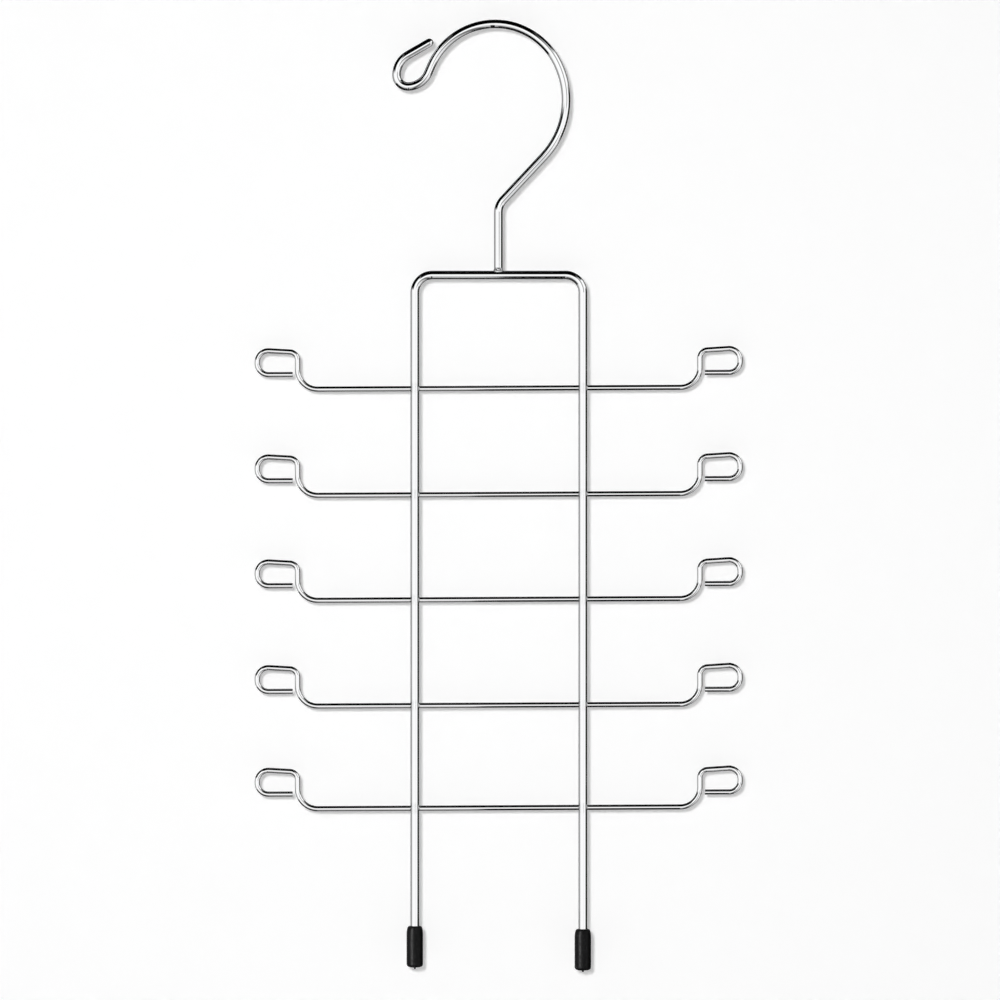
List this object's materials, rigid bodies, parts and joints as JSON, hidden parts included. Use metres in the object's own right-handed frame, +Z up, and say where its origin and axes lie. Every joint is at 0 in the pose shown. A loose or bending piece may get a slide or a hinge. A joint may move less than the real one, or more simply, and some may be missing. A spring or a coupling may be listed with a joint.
{
  "type": "scarf hanger",
  "caption": "Plated wire scarf hanger: an open hook with an eyelet tip over a long upside-down U frame, crossed by rails whose ends curl up into loops, with capped legs.",
  "frame": {"origin": "rod seat: the inside of the hook's crown, in the middle of the wire's depth, where the hanger rests on its rod", "axes": "+Z up, along the shank and the legs; +X to the right as seen from the front, along the rails; +Y to the back, the side on which the rails are welded"},
  "size_m": [0.2092, 0.0075, 0.4078],
  "materials": {
    "hook_chrome": "bright chrome plate over drawn steel wire",
    "frame_chrome": "bright chrome plate over drawn steel wire",
    "rail_chrome": "bright chrome plate over drawn steel wire",
    "weld_metal": "plated weld flash, slightly rough",
    "black_vinyl": "satin black moulded vinyl"
  },
  "bodies": {
    "root": {"hook": "hook_chrome", "frame": "frame_chrome", "rail_1": "rail_chrome", "rail_2": "rail_chrome", "rail_3": "rail_chrome", "rail_4": "rail_chrome", "rail_5": "rail_chrome", "left_end_cap": "black_vinyl", "right_end_cap": "black_vinyl", "hook_weld": "weld_metal", "rail_1_left_weld": "weld_metal", "rail_1_right_weld": "weld_metal", "rail_2_left_weld": "weld_metal", "rail_2_right_weld": "weld_metal", "rail_3_left_weld": "weld_metal", "rail_3_right_weld": "weld_metal", "rail_4_left_weld": "weld_metal", "rail_4_right_weld": "weld_metal", "rail_5_left_weld": "weld_metal", "rail_5_right_weld": "weld_metal"}
  },
  "joints": []
}
